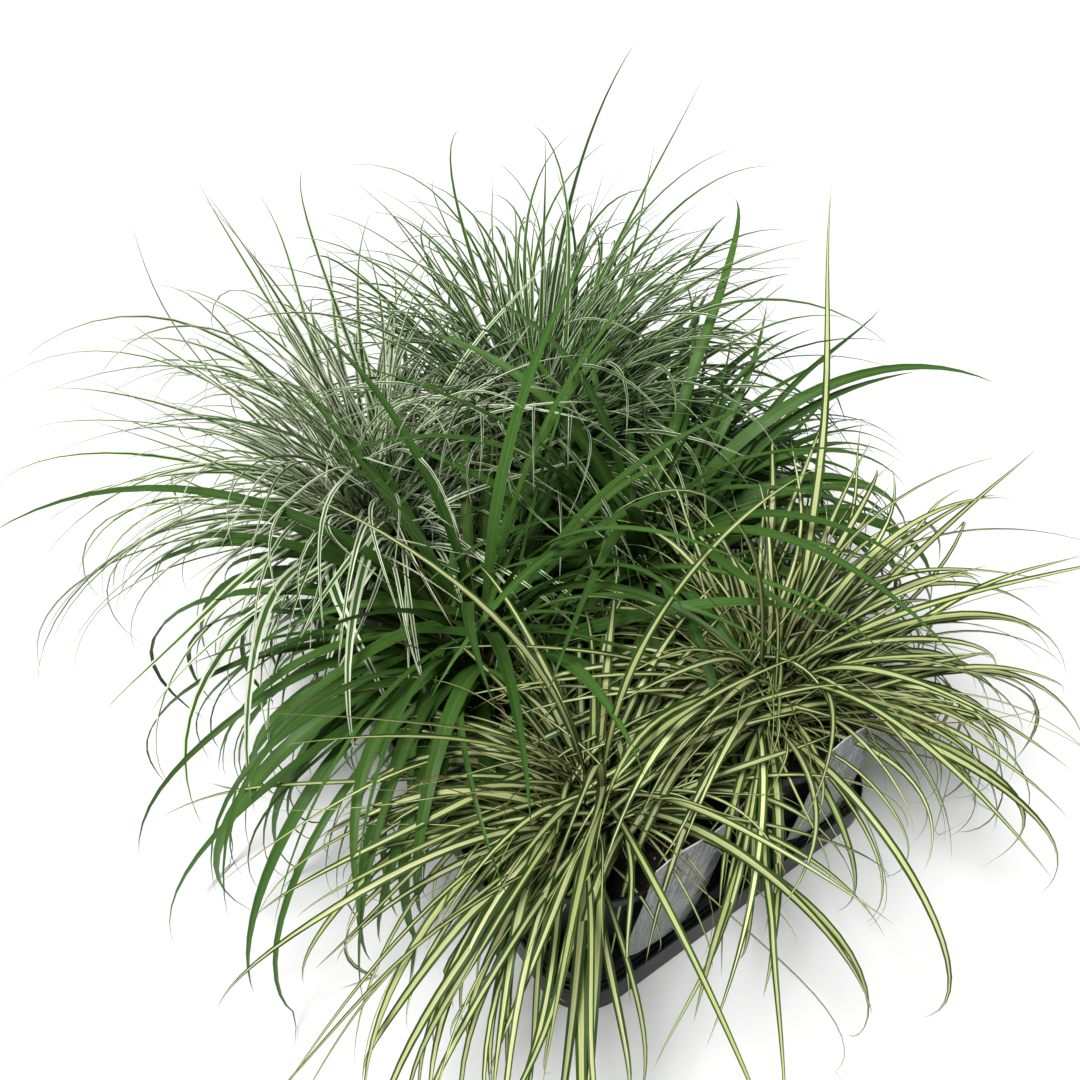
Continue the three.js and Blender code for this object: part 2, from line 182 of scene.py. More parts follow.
# The further blades that fill each clump.
FILLERS = {
    "cream": [
        group(80, (210, 335), (3.8, 6.6), 0.9, (5, 42), (0.15, 1.0)),
        group(42, (250, 345), (4.2, 6.8), 0.9, (8, 44), (0.4, 1.0),
              droop=(110, 185), bend_power=(0.8, 1.3), towards=0.2),
        group(130, (120, 270), (2.2, 4.2), 0.7, (4, 54), (0, 0.95)),
        group(140, (70, 190), (1.6, 3.6), 0.6, (3, 46), (0.0, 0.7)),
        group(40, (180, 330), (0.9, 1.6), 0.5, (4, 60), (0.1, 1.0)),
    ],
    "green": [
        group(66, (190, 340), (5, 10.5), 1.2, (6, 52), (0.1, 1.0)),
        group(50, (250, 350), (4.5, 9), 1.1, (8, 48), (0.3, 1.0), towards=0.7),
        group(70, (110, 260), (4, 7.5), 1.0, (4, 46), (0.0, 0.8)),
        group(40, (190, 340), (1.2, 2.6), 0.7, (4, 54), (0.1, 1.0)),
    ],
    "white": [
        group(170, (160, 330), (2.6, 5), 0.7, (5, 56), swerve=150),
        group(95, (260, 365), (2.4, 5.2), 0.8, (3, 40), (0.0, 0.5),
              droop=(105, 185), swerve=150, bend_power=(1.3, 2.6), outward=0.25),
        group(40, (230, 340), (2.4, 4.8), 0.8, (6, 50), (0.2, 0.8), towards=0.8),
        group(48, (190, 310), (5, 7.4), 0.9, (8, 52), (0.1, 0.9)),
        group(95, (80, 200), (2.2, 4), 0.6, (3, 48), (0.0, 0.8)),
        group(40, (170, 320), (0.9, 1.6), 0.5, (4, 60), swerve=150),
    ],
}

# Single blades of one clump that reach across the others, and which way they head, in degrees
# from +X.
LONG_ONES = {
    "back_right": [
        group(44, (250, 345), (2.8, 6.8), 0.9, (8, 42), (0.1, 0.75),
              droop=(85, 135), bend_power=(1.1, 2.0), heading=(-65, 35)),
    ],
    "back_left": [
        group(11, (250, 325), (6.5, 9), 1.0, (14, 46), (0.4, 0.8), heading=(-170, -122)),
    ],
    "middle_right": [
        group(66, (230, 330), (4, 8.5), 1.0, (8, 46), (0.15, 0.85),
              droop=(95, 150), heading=(-12, 62)),
    ],
    "front_left": [
        group(26, (250, 340), (4, 6.6), 0.9, (8, 32), (0.4, 1.0),
              droop=(120, 168), bend_power=(0.7, 1.0), heading=(155, 232)),
        group(18, (270, 345), (1.8, 4), 0.8, (14, 46), (0.5, 1.0),
              droop=(90, 150), heading=(148, 205)),
    ],
    "front_right": [
        group(20, (270, 345), (3, 5.4), 0.9, (20, 52), (0.4, 0.9),
              droop=(75, 130), heading=(-25, 45)),
        group(1, (322, 338), (5.5, 6.5), 1.1, (27, 27), (0.0, 0.0),
              fillers_inner=1, droop=(44, 44), heading=(50, 56), swerve=10, bend_power=(1.4, 1.6)),
    ],
}

# Short dry leaves and sheaths round the crown, and a few long dry flower stems.
DRY_ONES = [
    group(60, (30, 95), (1.4, 3.6), 0.5, (20, 82), dryness=0.75, droop=(50, 150)),
    group(90, (28, 62), (3.4, 6.4), 1.6, (2, 22), dryness=0.3, droop=(8, 50)),
    group(9, (150, 265), (0.9, 1.3), 0.8, (3, 34), dryness=0.75, droop=(12, 84)),
]
DRYNESS_VARIES = 0.9  # share of what is left to fully dry

# The shoots that all but the main blades come from, how far their blades' roots scatter, and
# how strongly blades turn away from the clump's middle.
SHOOTS = {"count": 13, "spread": 31, "turn": 0.7, "jitter": 5, "outward": 0.55}
FILLER_TRIES = 12
FILLER_LEAN = 10  # how far their lean varies, and their heading from root to tip
FILLER_SWERVE = 100
FILLER_ROOT = 3  # over the soil
OPEN_LABELS = 0.66  # share of the fillers over a label that are drawn again
OPEN_FRONT = 0.65  # and of the green ones that hang over the front pots, past this line
FRONT_LINE = -POT_PITCH_Y / 2 - 25
WAVE = {"range": 40, "starts": 6, "rate": 7}  # how far a filler's heading wanders, in degrees
# Which share of the fillers is creased over, where along them, over what length, how much more
# they lean up to there, and by how much the crease turns, in degrees.
KINK = {"share": 0.05, "at": (0.45, 0.8), "half_length": 0.03, "leans": 0.3, "turn": (35, 95)}

# The main blades' rule, as the solids have it, and where the fillers' differs.
CROWN = {"root_radius": 21, "inner_roots": 16, "outer_roots": 2}
VARY = {"azimuth": 69, "reach": 0.16, "droop": 60, "swerve": 66, "roll": 50, "twist": 80}
AWAY = {"turn": 10, "reach_inwards": 0.62, "fillers_inwards": 0.72}
UPRIGHT = {"share": 0.04, "length": 1, "droop": 70, "bend_power": 2.2}
# What blades lie on: its height on the surface and over the pots, where it slopes between the
# two, how far inside its own pot's rim a blade needs nothing below, and its least stride on it.
REST = {"surface": 2.2, "over_pots": 6, "inside": 34, "outside": 10, "inside_rim": 6, "stride": 0.9}
TRIES = {"all": 26, "widening": 0.12}
TIP_FOUND = 0.05  # the most that a blade's tip may lie from the solid's
PATH_STEPS = 42
GOLDEN_ANGLE = math.pi * (3 - math.sqrt(5))

# The finer blades' mesh: every how many steps of the path it has a station, over how many its
# direction is taken, how deep its foot is in the soil, how its width tapers, how deep its
# channel is as a share of its keel, and how far from the ends both fade.
STATION_EVERY = 2
DIRECTION_OVER = 2
ROOT_DEPTH = 5
TAPER = {"base": 0.72, "widest_from": 0.35, "widest_to": 0.4, "power": 1.4}
CHANNEL = 0.55
KEEL_FADES = 1.6

SEEDS = {"fillers": 1000, "dry_ones": 2000, "shades": 3000, "crumbs": 5000}


# ---- helpers ----

def lerp(low, high, share):
    return (1 - share) * low + share * high


def smoothstep(value, low, high):
    share = min(max((value - low) / (high - low), 0.0), 1.0)
    return share * share * (3 - 2 * share)


def seeded_random(seed):
    """A repeatable source of numbers from 0 to 1 (the mulberry32 generator)."""
    state = seed

    def draw():
        nonlocal state
        state = (state + 0x6D2B79F5) & 0xFFFFFFFF
        mixed = ((state ^ (state >> 15)) * (state | 1)) & 0xFFFFFFFF
        mixed ^= (mixed + ((mixed ^ (mixed >> 7)) * (mixed | 61))) & 0xFFFFFFFF
        return ((mixed ^ (mixed >> 14)) & 0xFFFFFFFF) / 4294967296

    return draw


def scatter(random, degrees):
    """An angle anywhere within a range around 0, in radians."""
    return math.radians((random() - 0.5) * degrees)


def add_mesh(name, vertices, faces):
    mesh = bpy.data.meshes.new(name)
    mesh.from_pydata(vertices, [], faces)
    piece = bpy.data.objects.new(name, mesh)
    bpy.context.scene.collection.objects.link(piece)
    return piece


def set_point_values(mesh, name, values):
    attribute = mesh.attributes.new(name, "FLOAT", "POINT")
    attribute.data.foreach_set("value", np.asarray(values, np.float32))


def corner_vertices(mesh):
    """The vertex at each corner of each face."""
    corners = np.empty(len(mesh.loops), np.int32)
    mesh.loops.foreach_get("vertex_index", corners)
    return corners


def set_uv(mesh, name, values):
    mesh.uv_layers.new(name=name).data.foreach_set("uv", values.astype(np.float32).ravel())


def make_piece(name, points, faces, node, material, sharp_over=SHARP_OVER):
    """A piece in the place of one of the solids, from points in millimetres. It is shaded
    smooth, but for edges that turn by more than this many degrees."""
    piece = add_mesh(name, np.array(points) * MM, faces)
    piece.data.polygons.foreach_set("use_smooth", [True] * len(piece.data.polygons))
    if sharp_over:
        piece.data.set_sharp_from_angle(angle=math.radians(sharp_over))
    piece.data.materials.append(material)
    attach(piece, "root")
    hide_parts(node)
    return piece


# ---- material building ----

class Graph:
    """Short names for the nodes of one material, whose shader is a Principled BSDF."""

    def __init__(self, name):
        self.material = bpy.data.materials.new(name)
        self.material.use_nodes = True
        self.tree = self.material.node_tree
        self.shader = self.tree.nodes["Principled BSDF"]

    def put(self, socket, value):
        if isinstance(value, bpy.types.NodeSocket):
            self.tree.links.new(value, socket)
        else:
            socket.default_value = value

    def node(self, kind, *values, **settings):
        """A node with these settings, and with these values or links in its first inputs."""
        node = self.tree.nodes.new(kind)
        for name, value in settings.items():
            setattr(node, name, value)
        for socket, value in zip(node.inputs, values):
            self.put(socket, value)
        return node

    def attribute(self, name):
        return self.node("ShaderNodeAttribute", attribute_name=name).outputs["Fac"]

    def math(self, operation, *values):
        return self.node("ShaderNodeMath", *values, operation=operation).outputs[0]

    def times(self, a, b):
        return self.math("MULTIPLY", a, b)

    def linear(self, value, low, high, to_low=0.0, to_high=1.0, way="LINEAR"):
        """The value, mapped from one range to another and kept within it."""
        values = (value, low, high, to_low, to_high)
        return self.node("ShaderNodeMapRange", *values, interpolation_type=way).outputs[0]

    def smooth(self, value, *ranges):
        """The same with soft ends."""
        return self.linear(value, *ranges, way="SMOOTHSTEP")

    def mix(self, share, a, b, blend="MIX"):
        """A mix of two colours, whose sockets are the node's seventh and eighth."""
        node = self.node("ShaderNodeMix", data_type="RGBA", blend_type=blend)
        self.put(node.inputs["Factor"], share)
        for socket, colour in ((node.inputs[6], a), (node.inputs[7], b)):
            self.put(socket, (*colour, 1.0) if isinstance(colour, tuple) else colour)
        return node.outputs[2]

    def point(self, x, y, z=0.0):
        return self.node("ShaderNodeCombineXYZ", x, y, z).outputs[0]

    def noise(self, vector, scale, detail=2.0, roughness=0.5):
        node = self.node("ShaderNodeTexNoise", vector)
        self.put(node.inputs["Scale"], scale)
        self.put(node.inputs["Detail"], detail)
        self.put(node.inputs["Roughness"], roughness)
        return node.outputs["Fac"]

    def place(self):
        return self.node("ShaderNodeTexCoord").outputs["Object"]

    def split(self, vector):
        return self.node("ShaderNodeSeparateXYZ", vector).outputs

    def bump(self, height, strength, distance):
        node = self.node("ShaderNodeBump")
        self.put(node.inputs["Height"], height)
        node.inputs["Strength"].default_value = strength
        node.inputs["Distance"].default_value = distance
        self.put(self.shader.inputs["Normal"], node.outputs[0])

    def set(self, **values):
        for name, value in values.items():
            self.put(self.shader.inputs[name.replace("_", " ")], value)


STRAW = (0.36, 0.25, 0.11)
DRY_BROWN = (0.17, 0.095, 0.04)
SHEATH = (0.23, 0.2, 0.09)
UNDERSIDE = 2.0  # what the blades' UV map adds across their lower faces
PATTERNS_APART = 53.0  # so that no two blades have the same noise
VEINS_SCALE = (26.0, 2.2)  # across and along a blade
BLOTCH_SCALE = (1.5, 22.0)
LEAF_GLOSS = 0.2


def leaf_material(name, look):
    """A striped blade: `inner` along the middle, `outer` at the edges, with fine veins."""
    graph = Graph(name)
    side, along, _ = graph.split(graph.node("ShaderNodeUVMap", uv_map="blade").outputs[0])
    under = graph.math("GREATER_THAN", side, UNDERSIDE - 0.5)
    across = graph.math("SUBTRACT", side, graph.times(under, UNDERSIDE))
    shade = graph.attribute("shade")
    dry = graph.attribute("dry")
    own = graph.times(shade, PATTERNS_APART)

    def streaks(scale):
        return graph.noise(graph.point(graph.times(across, scale[0]),
                                       graph.times(along, scale[1]), own), 1.0, 3.0, 0.6)

    off_middle = graph.math("ABSOLUTE", graph.math("SUBTRACT", across, 0.5))
    from_middle = graph.times(off_middle, 2.0)
    fine = streaks(VEINS_SCALE)
    slow = graph.noise(graph.point(own, graph.times(along, 3.0)), 1.0)
    wobble = graph.math("MULTIPLY_ADD", fine, look["streak"], -look["streak"] / 2)
    edge = graph.math("ADD", from_middle, wobble)
    middle_width = graph.linear(slow, 0.3, 0.7, *look["stripe"])
    middle_width = graph.math("ADD", middle_width, graph.attribute("greener"))
    margin = graph.smooth(edge, graph.math("SUBTRACT", middle_width, look["soft"]),
                          graph.math("ADD", middle_width, look["soft"]))

    # The stripes, with veins and a pale rib along the middle.
    inner = graph.mix(shade, *look["inner"])
    outer = graph.mix(graph.smooth(slow, 0.3, 0.7), *look["outer"])
    colour = graph.mix(margin, inner, outer)
    vein = graph.smooth(fine, 0.35, 0.7)
    colour = graph.mix(graph.times(vein, look["veins"]), colour, look["vein"])
    rib = graph.smooth(from_middle, 0.0, look["rib_width"], look["rib"], 0.0)
    colour = graph.mix(rib, colour, look["rib_colour"])

    # What changes along a blade: duller below, a dry sheath, a brown tip and worn spots.
    colour = graph.mix(graph.times(under, 0.3), colour, look["under"])
    at_base = graph.smooth(along, 0.02, 0.16, 0.75, 0.0)
    colour = graph.mix(at_base, colour, SHEATH)
    tip_from = graph.linear(shade, 0.0, 1.0, 0.9, 1.06)
    at_tip = graph.smooth(along, tip_from, graph.math("ADD", tip_from, 0.07), 0.0, 0.8)
    colour = graph.mix(at_tip, colour, DRY_BROWN)
    blotch = streaks(BLOTCH_SCALE)
    worn = graph.smooth(blotch, 0.7, 0.82, 0.0, 0.35)
    colour = graph.mix(worn, colour, STRAW)
    straw = graph.mix(graph.smooth(blotch, 0.35, 0.65), STRAW, DRY_BROWN)
    colour = graph.mix(dry, colour, straw)
    # Each blade has a lightness of its own, and a painted shade makes all of them darker towards
    # their feet, down in the clump.
    lightness = graph.linear(graph.noise(graph.point(own, 0.0), 1.7), 0.25, 0.75, 0.5, 1.25)
    # Painted shade: each blade's lower part is darkened as if the clump shaded it.
    painted_clump_shade = graph.smooth(along, 0.0, 0.4, 0.45, 1.0)
    lightness = graph.times(lightness, painted_clump_shade)
    grey = graph.point(lightness, lightness, lightness)
    colour = graph.mix(1.0, colour, grey, "MULTIPLY")

    rough = graph.linear(fine, 0.3, 0.7, look["roughness"] - 0.06, look["roughness"] + 0.1)
    rough = graph.math("ADD", rough, graph.times(dry, 0.3))
    graph.set(Base_Color=colour, Roughness=rough, Specular_IOR_Level=LEAF_GLOSS)
    graph.bump(fine, 0.25, 0.15 * MM)
    return graph.material


# The stripe is the share of a blade's half width that its middle takes up.
LEAF_LOOKS = {
    "cream": {
        "inner": ((0.9, 0.92, 0.46), (0.6, 0.66, 0.25)),
        "outer": ((0.022, 0.06, 0.011), (0.06, 0.115, 0.024)),
        "stripe": (0.26, 0.56), "soft": 0.05, "streak": 0.2,
        "vein": (0.11, 0.17, 0.03), "veins": 0.2, "rib": 0.25, "rib_width": 0.08,
        "rib_colour": (0.14, 0.18, 0.04), "under": (0.16, 0.2, 0.06), "roughness": 0.44,
    },
    "green": {
        "inner": ((0.033, 0.105, 0.011), (0.072, 0.174, 0.022)),
        "outer": ((0.025, 0.087, 0.009), (0.06, 0.153, 0.02)),
        "stripe": (0.3, 0.8), "soft": 0.3, "streak": 0.4,
        "vein": (0.12, 0.23, 0.055), "veins": 0.5, "rib": 0.6, "rib_width": 0.1,
        "rib_colour": (0.13, 0.26, 0.07), "under": (0.085, 0.165, 0.055), "roughness": 0.44,
    },
    "white": {
        "inner": ((0.024, 0.095, 0.01), (0.065, 0.165, 0.022)),
        "outer": ((0.97, 1.0, 0.8), (0.76, 0.87, 0.56)),
        "stripe": (0.36, 0.64), "soft": 0.04, "streak": 0.16,
        "vein": (0.16, 0.27, 0.09), "veins": 0.1, "rib": 0.3, "rib_width": 0.1,
        "rib_colour": (0.18, 0.28, 0.1), "under": (0.24, 0.34, 0.14), "roughness": 0.46,
    },
}


# ---- blades ----

def resting_height(x, y):
    """The lowest that a blade's middle may lie over a place."""
    past_x = abs(x) - TRAY_HALF_X
    past_y = abs(y) - TRAY_HALF_Y
    past = math.hypot(max(past_x, 0), max(past_y, 0)) + min(max(past_x, past_y), 0)
    share = smoothstep(past, -REST["inside"], REST["outside"])
    return lerp(POT_TOP + REST["over_pots"], REST["surface"], share)


def pot_middle(plant):
    return plant["column"] * POT_PITCH_X / 2, plant["row"] * POT_PITCH_Y


def grow(plant, root, azimuth, length, lean, droop, bend_power, swerve, kink=None, wave=(0, 0)):
    """A blade's middle line: it leans out and bends over along its length, and where it meets
    what lies below, it goes on along that."""
    centre_x, centre_y = pot_middle(plant)
    own_pot = POT_RIM_RADIUS - REST["inside_rim"]
    step = length / PATH_STEPS
    wave_size, wave_start = wave
    x, y, z = root
    path = [root]
    for i in range(1, PATH_STEPS + 1):
        along = i / PATH_STEPS
        if kink:
            bent = smoothstep(along, kink - KINK["half_length"], kink + KINK["half_length"])
        else:
            bent = along ** bend_power
        angle = lerp(lean, max(droop, lean), bent)
        wander = wave_size * along * math.sin(wave_start + along * WAVE["rate"])
        heading = azimuth + swerve * along * along + wander
        sine = math.sin(angle)
        next_x = x + step * sine * math.cos(heading)
        next_y = y + step * sine * math.sin(heading)
        next_z = z + step * math.cos(angle)
        past_own_pot = math.hypot(next_x - centre_x, next_y - centre_y) > own_pot
        if past_own_pot and next_z < resting_height(next_x, next_y):
            level = step * max(sine, REST["stride"])
            next_x = x + level * math.cos(heading)
            next_y = y + level * math.sin(heading)
            next_z = max(resting_height(next_x, next_y), z - step)
        x, y, z = next_x, next_y, next_z
        path.append((x, y, z))
    return path


def blade_path(kind, plant, rank, turn, attempt, random):
    """The solids' rule for a main blade. It takes the same draws in the same order."""
    outward = math.atan2(plant["row"], plant["column"])
    turned = turn - math.radians(AWAY["turn"]) * math.sin(turn - outward)
    widened = VARY["azimuth"] * (1 + TRIES["widening"] * attempt)
    azimuth = turned + scatter(random, widened)
    facing = (math.cos(azimuth - outward) + 1) / 2
    spread = rank * lerp(AWAY["reach_inwards"], 1, facing) + (random() - 0.5) * VARY["reach"]
    reach = min(max(spread, 0.0), 1.0)
    upright = rank < UPRIGHT["share"]
    inner_length = lerp(*kind["inner_length"], random())
    inner = lerp(inner_length, 1, rank) * lerp(kind["inwards"], 1, facing)
    length = lerp(*kind["length"], random()) * (UPRIGHT["length"] if upright else inner)
    lean = math.radians(lerp(*kind["lean"], reach))
    drawn_droop = lerp(*kind["droop"], smoothstep(reach, 0, kind["droop_by"]))
    droop = math.radians(UPRIGHT["droop"] if upright else drawn_droop)
    droop += scatter(random, VARY["droop"])
    swerve = scatter(random, VARY["swerve"])
    drawn_power = lerp(*kind["bend_power"], random())
    bend_power = UPRIGHT["bend_power"] if upright else drawn_power
    centre_x, centre_y = pot_middle(plant)
    root_radius = CROWN["root_radius"] * math.sqrt(rank)
    root = (centre_x + root_radius * math.cos(turn), centre_y + root_radius * math.sin(turn),
            SOIL_TOP + lerp(CROWN["inner_roots"], CROWN["outer_roots"], rank))
    return grow(plant, root, azimuth, length, lean, droop, bend_power, swerve)


def blade_of(path, kind, random):
    width = lerp(*kind["width"], random())
    roll = scatter(random, VARY["roll"])
    twist = scatter(random, VARY["twist"])
    return {"path": path, "width": width, "keel": kind["keel"], "roll": roll, "twist": twist}


def main_blades(plant, node):
    """The blades that the clump's solid has: each blade's draw is the one whose tip it shows."""
    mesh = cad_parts[node].data
    tips = kdtree.KDTree(len(mesh.vertices))
    for index, vertex in enumerate(mesh.vertices):
        tips.insert(vertex.co, index)
    tips.balance()
    kind = KINDS[plant["kind"]]
    random = seeded_random(plant["seed"])
    blades = []
    for number in range(kind["count"]):
        rank = (number + 0.5) / kind["count"]
        for attempt in range(TRIES["all"]):
            path = blade_path(kind, plant, rank, number * GOLDEN_ANGLE, attempt, random)
            blade = blade_of(path, kind, random)
            if tips.find(Vector(path[-1]) * MM)[2] < TIP_FOUND * MM:
                blades.append(blade)
                break
    return blades


def inside_box(path):
    points = np.array(path) * MM
    return bool((points > BOX_LOW).all() and (points < BOX_HIGH).all())


def hides_a_label(path):
    """Whether a blade hangs in the space over the face of a label."""
    space = LABEL_SPACE
    for x, y, z in path[::2]:
        share = (z - space["middle"]) / (READ_FROM[2] - space["middle"])
        for label_x, label_y, _ in LABEL_PLACES:
            aside = abs(x - lerp(label_x, READ_FROM[0], share))
            before = abs(y - lerp(label_y, READ_FROM[1], share))
            if z > space["lowest"] and aside < space["half_width"] and before < space["half_depth"]:
                return True
    return False


def hides_the_front(path):
    """Whether a blade hangs over the pots of the front row."""
    return any(y < FRONT_LINE and abs(x) < TRAY_HALF_X for x, y, _ in path[::2])


def draw_filler(plant, kind, shoots, random):
    shoot_x, shoot_y = shoots[int(random() * len(shoots))]
    root_x = shoot_x + (random() - 0.5) * SHOOTS["jitter"]
    root_y = shoot_y + (random() - 0.5) * SHOOTS["jitter"]
    any_way = random() * 2 * math.pi
    out = math.atan2(root_y, root_x)
    azimuth = any_way - kind.get("outward", SHOOTS["outward"]) * math.sin(any_way - out)
    outward = math.atan2(plant["row"], plant["column"])
    azimuth -= kind.get("towards", 0) * math.sin(azimuth - outward)
    if "heading" in kind:
        azimuth = math.radians(lerp(*kind["heading"], any_way / (2 * math.pi)))
    facing = (math.cos(azimuth - outward) + 1) / 2
    reach = lerp(*kind["reach"], random()) * lerp(AWAY["fillers_inwards"], 1, facing)
    full = 1 if "heading" in kind else lerp(plant["inwards"], 1, facing)
    length = lerp(*kind["length"], random()) * full * lerp(kind["fillers_inner"], 1, reach)
    lean = math.radians(lerp(*kind["lean"], reach)) + scatter(random, FILLER_LEAN)
    droop = math.radians(lerp(*kind["droop"], smoothstep(reach, 0, kind["droop_by"])))
    droop += scatter(random, VARY["droop"])
    swerve = scatter(random, kind.get("swerve", FILLER_SWERVE))
    bend_power = lerp(*kind["bend_power"], random())
    wave = (scatter(random, WAVE["range"]), random() * WAVE["starts"])
    kink = lerp(*KINK["at"], random()) if random() < KINK["share"] else None
    if kink:
        lean = lerp(lean, droop, KINK["leans"])
        droop = lean + math.radians(lerp(*KINK["turn"], random()))
    centre_x, centre_y = pot_middle(plant)
    root = (centre_x + root_x, centre_y + root_y, SOIL_TOP + FILLER_ROOT)
    path = grow(plant, root, azimuth, length, lean, droop, bend_power, swerve, kink, wave)
    return blade_of(path, kind, random)


def make_shoots(random):
    """Where a clump's shoots stand: spread over its crown like a sunflower's seeds."""
    shoots = []
    for number in range(SHOOTS["count"]):
        radius = SHOOTS["spread"] * math.sqrt((number + 0.5) / SHOOTS["count"])
        turn = number * GOLDEN_ANGLE + (random() - 0.5) * SHOOTS["turn"]
        shoots.append((radius * math.cos(turn), radius * math.sin(turn)))
    return shoots


def filler_blades(plant):
    """More blades, smaller ones among them, from the clump's shoots, inside the model's box."""
    random = seeded_random(plant["seed"] + SEEDS["fillers"])
    shoots = make_shoots(random)
    over_labels, over_front = plant["row"] == -1, plant["row"] == 0
    blades = []
    for added in FILLERS[plant["kind"]] + LONG_ONES.get(plant["place"], []):
        kind = {**KINDS[plant["kind"]], **added}
        for _ in range(round(kind["count"] * plant["bushy"])):
            for _ in range(FILLER_TRIES):
                blade = draw_filler(plant, kind, shoots, random)
                blocked = False
                if over_labels and hides_a_label(blade["path"]):
                    blocked = random() < OPEN_LABELS
                if over_front and hides_the_front(blade["path"]):
                    blocked = random() < OPEN_FRONT
                if inside_box(blade["path"]) and not blocked:
                    blades.append(blade)
                    break
    return blades


def dry_blades(plant):
    random = seeded_random(plant["seed"] + SEEDS["dry_ones"])
    shoots = make_shoots(random)
    blades = []
    for added in DRY_ONES:
        kind = {**KINDS[plant["kind"]], **added}
        for _ in range(kind["count"]):
            blade = draw_filler(plant, kind, shoots, random)
            blade["dry"] = lerp(kind["dryness"], 1, random() * DRYNESS_VARIES)
            if inside_box(blade["path"]):
                blades.append(blade)
    return blades


def blade_rings(blades):
    """Left edge, middle, right edge and keel of each blade at each of its stations, with one
    station more down in the soil, and how far along the blade each station lies."""
    def of_all(name):
        return np.array([blade[name] for blade in blades])[:, None]

    steps = list(range(0, PATH_STEPS, STATION_EVERY))
    along = np.array(steps) / PATH_STEPS
    path = np.array([blade["path"] for blade in blades])
    middle = path[:, steps]
    before = path[:, [max(step - DIRECTION_OVER, 0) for step in steps]]
    after = path[:, [min(step + DIRECTION_OVER, PATH_STEPS) for step in steps]]
    tangent = after - before
    tangent /= np.linalg.norm(tangent, axis=2, keepdims=True)
    chord = path[:, -1] - path[:, 0]
    side = np.stack([-chord[:, 1], chord[:, 0], np.zeros(len(blades))], 1)[:, None, :]
    side = side - (side * tangent).sum(2, keepdims=True) * tangent
    side /= np.linalg.norm(side, axis=2, keepdims=True)
    turn = (of_all("roll") + of_all("twist") * along)[..., None]
    side = side * np.cos(turn) + np.cross(tangent, side) * np.sin(turn)
    upper = np.cross(tangent, side)
    base = lerp(TAPER["base"], 1, np.minimum(along / TAPER["widest_from"], 1))
    to_tip = np.maximum((along - TAPER["widest_to"]) / (1 - TAPER["widest_to"]), 0)
    half = (of_all("width") / 2 * base * (1 - to_tip ** TAPER["power"]))[..., None]
    keel = of_all("keel")[..., None]
    keel = keel * np.minimum(half / half.max(axis=1, keepdims=True) * KEEL_FADES, 1)
    rings = np.stack([middle + side * half, middle - upper * keel * CHANNEL,
                      middle - side * half, middle - upper * keel], 2)
    rooted = rings[:, :1] * [1, 1, 0]
    rooted[..., 2] = SOIL_TOP - ROOT_DEPTH
    return np.concatenate([rooted, rings], 1), np.concatenate([[0.0], along])


def blade_faces(stations):
    """One blade's faces from its foot to its tip, and which of them are lower ones."""
    faces = [(3, 1, 0), (3, 2, 1)]
    is_lower = [False, False]
    tip = stations * 4
    for start in range(0, tip, 4):
        for a in range(4):
            b = (a + 1) % 4
            if start + 4 < tip:
                faces.append((start + a, start + b, start + 4 + b, start + 4 + a))
            else:
                faces.append((start + a, start + b, tip))
            is_lower.append(a >= 2)
    return faces, is_lower


def make_clump(plant, material):
    """The clump's own blades, channelled and keeled, with all that grows between them."""
    node = "sedge_" + plant["kind"] + "_" + plant["place"]
    blades = main_blades(plant, node) + filler_blades(plant) + dry_blades(plant)
    count = len(blades)
    rings, along = blade_rings(blades)
    tips = np.array([blade["path"][-1:] for blade in blades])
    points = np.concatenate([rings.reshape(count, -1, 3), tips], 1)
    each = points.shape[1]
    own_faces, is_lower = blade_faces(len(along))
    faces = [tuple(i + blade * each for i in face) for blade in range(count) for face in own_faces]
    mesh = make_piece("blades_" + plant["place"], points.reshape(-1, 3), faces, node,
                      material, None).data

    random = seeded_random(plant["seed"] + SEEDS["shades"])
    set_point_values(mesh, "shade", np.repeat([random() for _ in blades], each))
    set_point_values(mesh, "dry", np.repeat([blade.get("dry", 0.0) for blade in blades], each))
    set_point_values(mesh, "greener", np.full(count * each, plant["greener"]))

    across = np.concatenate([np.tile([0.0, 0.5, 1.0, 0.5], len(along)), [0.5]])
    lengthwise = np.concatenate([np.repeat(along, 4), [1.0]])
    lower = np.repeat(is_lower, [len(face) for face in own_faces])
    corners = corner_vertices(mesh) % each
    set_uv(mesh, "blade", np.stack([across[corners] + UNDERSIDE * np.tile(lower, count),
                                    lengthwise[corners]], 1))

    ends = np.empty(len(mesh.edges) * 2, np.int32)
    mesh.edges.foreach_get("vertices", ends)
    ends = ends.reshape(-1, 2) % each
    is_sharp = (ends[:, 0] % 4 == ends[:, 1] % 4) & (ends.max(1) < each - 1)
    mesh.attributes.new("sharp_edge", "BOOLEAN", "EDGE").data.foreach_set("value", is_sharp)


# ---- tray, pots, soil and labels ----

def rounded(profile, radius, steps):
    """A profile with its inner corners rounded off."""
    points = np.array(profile, float)
    out = [points[0]]
    for before, here, after in zip(points, points[1:], points[2:]):
        back = before - here
        ahead = after - here
        to_back, to_ahead = np.linalg.norm(back), np.linalg.norm(ahead)
        cut = min(radius, BEND_SHARE * to_back, BEND_SHARE * to_ahead)
        start = here + back / to_back * cut
        end = here + ahead / to_ahead * cut
        for step in range(steps + 1):
            share = step / steps
            out.append((1 - share) ** 2 * start + 2 * share * (1 - share) * here + share ** 2 * end)
    out.append(points[-1])
    return out


def band(rings, size, turned_over=False):
    """Faces between rings of equally many points."""
    faces = []
    for ring in range(rings - 1):
        for i in range(size):
            j = (i + 1) % size
            a, b = ring * size, (ring + 1) * size
            face = (a + i, a + j, b + j, b + i)
            faces.append(face[::-1] if turned_over else face)
    return faces


